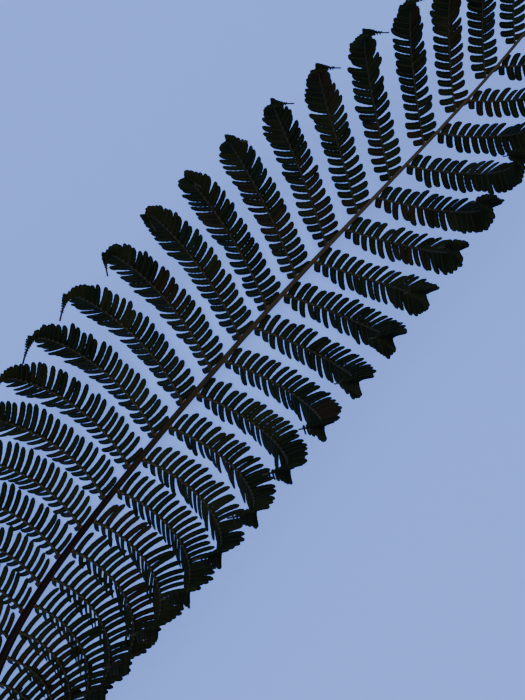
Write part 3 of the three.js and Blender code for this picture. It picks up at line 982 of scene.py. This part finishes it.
class FROND_OT_leaflets(bpy.types.Operator):
    """Copies three modelled leaflets along both halves of every pinna, in sprays of four colours"""

    bl_idname = "frond.leaflets"
    bl_label = "Leaflets"

    def execute(self, context):
        sizes = context.scene.frond_leaflets
        colours = context.scene.frond_colours
        self.draw = np.random.default_rng(SEED)
        self.sizes = sizes
        self.shapes = [
            Shape(leaflet_template(f"leaflet_pattern_{i}", sizes.thickness, fold, droop))
            for i, (fold, droop) in enumerate(LEAFLET_FORMS)
        ]
        materials = [leaf_material(name, getattr(colours, name), colours.vein) for name in TINTS]
        for side, spines in SPINES.items():
            for stretch, numbers in STRETCHES.items():
                heap = Heap(f"leaflets_{SIDE_NAMES[side]}_{stretch}")
                for number in numbers:
                    self.clothe(heap, spines[number - 1])
                if stretch == "tip":
                    self.clothe_end(heap, side)
                piece = heap.piece(materials)
                shade(piece, LEAFLET_CREASE)
                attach(piece, "root")
                if stretch != "tip":
                    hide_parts(*[f"pinna_{SIDE_NAMES[side]}_{number:02d}" for number in numbers])
                elif side > 0:
                    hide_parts("apex")
        return {"FINISHED"}

    def clothe(self, heap, spine):
        """Sets a pinna's leaflets on its rib."""
        draw = self.draw
        row = leaflet_row(spine, self.sizes)
        left_in_spray = 0
        for half in (1, -1):
            root_share, root_gain = ROOT_SHARES[spine.side, half]
            shift = 0 if half > 0 else ROOTWARD_SHIFT
            flatness = 1 if half > 0 else 1 - FLATTER_BELOW * spine.lower
            at = np.maximum(row[:, 0] - shift * row[:, 1], BARE_RIB)
            ways = at / spine.length
            ends = leaflet_end(ways)
            lengths = spine.reach * np.minimum(1, root_share + root_gain * ways) * ends
            lengths *= 1 - END_LOSS[spine.side] * np.interp(ways, END_LOSS_OVER, (0, 1))
            slims = ROOT_SLIM + (1 - ROOT_SLIM) * np.clip(ways / SLIM_UNTIL, 0, 1)
            slims *= 1 - SLIMMER_BELOW * spine.lower * ends
            places, headings, tipwards, unders, pitches = spine.at(ways)
            turned = TURN_SHARES[half * spine.side] * np.clip(pitches - TURN_FROM, 0, None)
            turned += np.clip(pitches - FOLD_FROM, 0, None)
            turns = -np.minimum(turned, MOST_TURN)
            for i in range(len(row)):
                if left_in_spray == 0:
                    tint = int(draw.choice(len(TINTS), p=list(TINTS.values())))
                    left_in_spray = int(draw.integers(*SPRAY))
                left_in_spray -= 1
                shape = self.shapes[int(draw.integers(len(self.shapes)))]
                length = lengths[i] * (1 + LENGTH_PLAY * draw.standard_normal())
                wide = END_WIDTH + (self.sizes.width - END_WIDTH) * ends[i]
                width = row[i, 1] * slims[i] * wide * (1 + WIDTH_PLAY * draw.standard_normal())
                lean = self.sizes.lean + LEAN_PLAY * draw.standard_normal()
                trough = TROUGH * flatness + TROUGH_PLAY * draw.standard_normal()
                roll = turns[i] + ROLL_PLAY * draw.standard_normal()
                out = tipwards[i] * half * math.cos(trough) - unders[i] * math.sin(trough)
                long_way = out * math.cos(lean) + headings[i] * math.sin(lean)
                level = headings[i] * math.cos(lean) - out * math.sin(lean)
                face = unders[i] * math.cos(trough) + tipwards[i] * half * math.sin(trough)
                across = level * math.cos(roll) + face * math.sin(roll)
                normal = face * math.cos(roll) - level * math.sin(roll)
                set_leaflet(
                    heap,
                    shape,
                    places[i],
                    (long_way, across, normal),
                    (length, width, self.sizes.falcation * length),
                    half * spine.side < 0,
                    tint,
                )

    def clothe_end(self, heap, side):
        """Sets the last single leaflets on one side of the rachis tip."""
        for i, pair in enumerate(END_PAIRS):
            place, ahead, left, out = (np.array(column) for column in rachis_at(along_at(pair)))
            spread = END_SPREAD * (1 - END_SPREAD_LOSS * i)
            long_way = ahead * math.cos(spread) + left * side * math.sin(spread)
            across = ahead * math.sin(spread) - left * side * math.cos(spread)
            length = END_LEAFLET * (1 - END_LEAFLET_LOSS * i)
            set_leaflet(
                heap,
                self.shapes[i % len(self.shapes)],
                place,
                (long_way, across, out),
                (length, length * END_LEAFLET_WIDTH, self.sizes.falcation * length),
                side < 0,
                0,
            )


class FROND_OT_stage(bpy.types.Operator):
    """Lays the pale floor, hangs soft lights and sets the camera at the photograph's angle"""

    bl_idname = "frond.stage"
    bl_label = "Stage"

    def execute(self, context):
        scene = context.scene
        bpy.ops.object.select_all(action="DESELECT")
        bpy.ops.mesh.primitive_plane_add(size=FLOOR_SIZE, location=(0, 0, 0))
        floor = context.object
        floor.name = "floor"
        floor.data.materials.append(floor_material(scene.frond_colours.floor))
        world = scene.world or bpy.data.worlds.new("soft_room")
        scene.world = world
        world.use_nodes = True
        feed(world.node_tree.nodes["Background"], Color=(*WORLD_COLOUR, 1), Strength=WORLD_LIGHT)
        for name, place, size, watts in LAMPS:
            bpy.ops.object.light_add(type="AREA", location=place)
            lamp = context.object
            lamp.name = name
            lamp.data.shape = "DISK"
            lamp.data.size = size
            lamp.data.energy = watts
            lamp.visible_camera = False
            lamp.rotation_euler = (-Vector(place)).to_track_quat("-Z", "Y").to_euler()
        bpy.ops.object.camera_add(location=WIDEST_PLACE + CAMERA_PLACE)
        camera = context.object
        right = CAMERA_RIGHT.normalized()
        up = -(CAMERA_DOWN - right * CAMERA_DOWN.dot(right)).normalized()
        turn = Matrix((right, up, right.cross(up))).transposed()
        camera.rotation_euler = turn.to_euler()
        camera.data.sensor_fit = "VERTICAL"
        camera.data.sensor_height = SENSOR
        camera.data.lens = SENSOR * FOCAL_PIXELS / PICTURE_HEIGHT
        camera.data.clip_start = 0.01
        scene.camera = camera
        return {"FINISHED"}


class FROND_PT_panel(bpy.types.Panel):
    """The frond's steps in order, and its sizes and colours"""

    bl_idname = "FROND_PT_panel"
    bl_label = "Tree fern frond"
    bl_space_type = "VIEW_3D"
    bl_region_type = "UI"
    bl_category = "Frond"

    def draw(self, context):
        for step in STEPS:
            self.layout.operator(step.bl_idname)
        for group in ("frond_leaflets", "frond_rachis", "frond_colours"):
            settings = getattr(context.scene, group)
            for name in settings.bl_rna.properties.keys():
                if name not in ("rna_type", "name"):
                    self.layout.prop(settings, name)


STEPS = (FROND_OT_rachis, FROND_OT_ribs, FROND_OT_leaflets, FROND_OT_stage)
GROUPS = (FrondLeafletSizes, FrondRachisSizes, FrondColours)


def register():
    for kind in (*GROUPS, *STEPS, FROND_PT_panel):
        bpy.utils.register_class(kind)
    bpy.types.Scene.frond_leaflets = PointerProperty(type=FrondLeafletSizes)
    bpy.types.Scene.frond_rachis = PointerProperty(type=FrondRachisSizes)
    bpy.types.Scene.frond_colours = PointerProperty(type=FrondColours)


def unregister():
    del bpy.types.Scene.frond_colours
    del bpy.types.Scene.frond_rachis
    del bpy.types.Scene.frond_leaflets
    for kind in reversed((*GROUPS, *STEPS, FROND_PT_panel)):
        bpy.utils.unregister_class(kind)


def main():
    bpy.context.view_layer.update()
    register()
    bpy.ops.frond.rachis()
    bpy.ops.frond.ribs()
    bpy.ops.frond.leaflets()
    bpy.ops.frond.stage()


if __name__ == "__main__":
    main()
